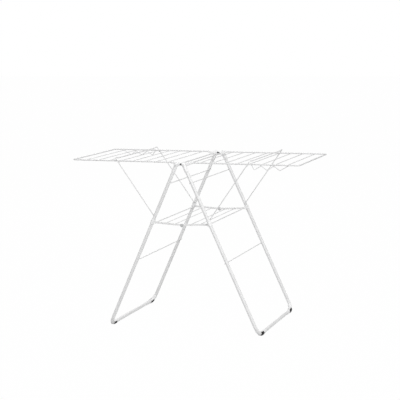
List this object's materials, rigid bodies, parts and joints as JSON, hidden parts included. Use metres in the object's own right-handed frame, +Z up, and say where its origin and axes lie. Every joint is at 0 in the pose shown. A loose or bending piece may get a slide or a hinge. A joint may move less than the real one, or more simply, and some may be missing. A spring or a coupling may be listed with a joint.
{
  "type": "clothes drying rack",
  "caption": "Folding white wire clothes airer with two wings held by swinging props, a folding middle shelf and two hinged tube leg frames on rubber feet.",
  "frame": {"origin": "On the floor, under the middle of the airer.", "axes": "+X along the wings to the right, +Y from front to back, +Z up."},
  "size_m": [1.315, 0.6618, 0.9485],
  "materials": {
    "white_coated_steel": "smooth satin powder coat",
    "white_plastic": "smooth moulded",
    "grey_plastic": "fine grained moulded",
    "black_rubber": "matt",
    "steel_rivets": "plain drawn"
  },
  "bodies": {
    "hinge_links": {"front_hinge_link": "grey_plastic", "back_hinge_link": "grey_plastic"},
    "left_leg_frame": {"left_leg_tube": "white_coated_steel", "left_leg_upper_wire": "white_coated_steel", "left_leg_lower_wire": "white_coated_steel", "left_pivot_rod": "white_coated_steel", "left_shelf_rod": "white_coated_steel", "left_front_leg_cap": "white_plastic", "left_front_prop_bush": "white_plastic", "left_front_shelf_clip": "white_plastic", "left_front_foot_clip": "white_plastic", "left_front_foot_pad": "black_rubber", "left_back_leg_cap": "white_plastic", "left_back_prop_bush": "white_plastic", "left_back_shelf_clip": "white_plastic", "left_back_foot_clip": "white_plastic", "left_back_foot_pad": "black_rubber"},
    "left_wing": {"left_wing_rail": "white_coated_steel", "left_wing_wires": "white_coated_steel", "left_front_wing_knuckle": "white_plastic", "left_back_wing_knuckle": "white_plastic", "left_height_rack": "white_coated_steel"},
    "left_prop": {"left_prop_wire": "white_coated_steel", "left_prop_seats": "white_coated_steel"},
    "left_shelf_half": {"left_front_shelf_bar": "white_coated_steel", "left_back_shelf_bar": "white_coated_steel", "left_shelf_wires": "white_coated_steel", "left_shelf_rivets": "steel_rivets", "left_front_hinge_cap": "grey_plastic", "left_back_hinge_cap": "grey_plastic"},
    "right_leg_frame": {"right_leg_tube": "white_coated_steel", "right_leg_upper_wire": "white_coated_steel", "right_leg_lower_wire": "white_coated_steel", "right_pivot_rod": "white_coated_steel", "right_shelf_rod": "white_coated_steel", "right_front_leg_cap": "white_plastic", "right_front_prop_bush": "white_plastic", "right_front_shelf_clip": "white_plastic", "right_front_foot_clip": "white_plastic", "right_front_foot_pad": "black_rubber", "right_back_leg_cap": "white_plastic", "right_back_prop_bush": "white_plastic", "right_back_shelf_clip": "white_plastic", "right_back_foot_clip": "white_plastic", "right_back_foot_pad": "black_rubber"},
    "right_wing": {"right_wing_rail": "white_coated_steel", "right_wing_wires": "white_coated_steel", "right_front_wing_knuckle": "white_plastic", "right_back_wing_knuckle": "white_plastic", "right_height_rack": "white_coated_steel"},
    "right_prop": {"right_prop_wire": "white_coated_steel", "right_prop_seats": "white_coated_steel"},
    "right_shelf_half": {"right_front_shelf_bar": "white_coated_steel", "right_back_shelf_bar": "white_coated_steel", "right_shelf_wires": "white_coated_steel", "right_shelf_rivets": "steel_rivets"}
  },
  "joints": [
    {"name": "right_leg_fold", "type": "hinge", "parent": "hinge_links", "child": "right_leg_frame", "pos_m": [0.022, 0, 0.9175], "axis": [0, 1, 0], "range_deg": [0, 24.4]},
    {"name": "left_leg_fold", "type": "hinge", "parent": "hinge_links", "child": "left_leg_frame", "pos_m": [-0.022, 0, 0.9175], "axis": [0, -1, 0], "range_deg": [0, 24.4]},
    {"name": "left_wing_fold", "type": "hinge", "parent": "left_leg_frame", "child": "left_wing", "pos_m": [-0.022, 0, 0.9175], "axis": [0, -1, 0], "range_deg": [0, 64]},
    {"name": "right_wing_fold", "type": "hinge", "parent": "right_leg_frame", "child": "right_wing", "pos_m": [0.022, 0, 0.9175], "axis": [0, 1, 0], "range_deg": [0, 64]},
    {"name": "left_prop_swing", "type": "hinge", "parent": "left_leg_frame", "child": "left_prop", "pos_m": [-0.1571, 0, 0.62081], "axis": [0, -1, 0], "range_deg": [0, 114.5]},
    {"name": "right_prop_swing", "type": "hinge", "parent": "right_leg_frame", "child": "right_prop", "pos_m": [0.1571, 0, 0.62081], "axis": [0, 1, 0], "range_deg": [0, 114.5]},
    {"name": "left_shelf_fold", "type": "hinge", "parent": "left_leg_frame", "child": "left_shelf_half", "pos_m": [-0.15355, 0, 0.59722], "axis": [0, -1, 0], "range_deg": [0, 72]},
    {"name": "right_shelf_fold", "type": "hinge", "parent": "right_leg_frame", "child": "right_shelf_half", "pos_m": [0.15355, 0, 0.59722], "axis": [0, 1, 0], "range_deg": [0, 72]}
  ],
  "couplings": [
    {"joint": "left_leg_fold", "follows": "right_leg_fold", "ratio": 1},
    {"joint": "left_shelf_fold", "follows": "right_leg_fold", "ratio": 2.95},
    {"joint": "right_shelf_fold", "follows": "right_leg_fold", "ratio": 2.95},
    {"joint": "left_prop_swing", "follows": "left_wing_fold", "ratio": 1.784},
    {"joint": "right_prop_swing", "follows": "right_wing_fold", "ratio": 1.784}
  ]
}
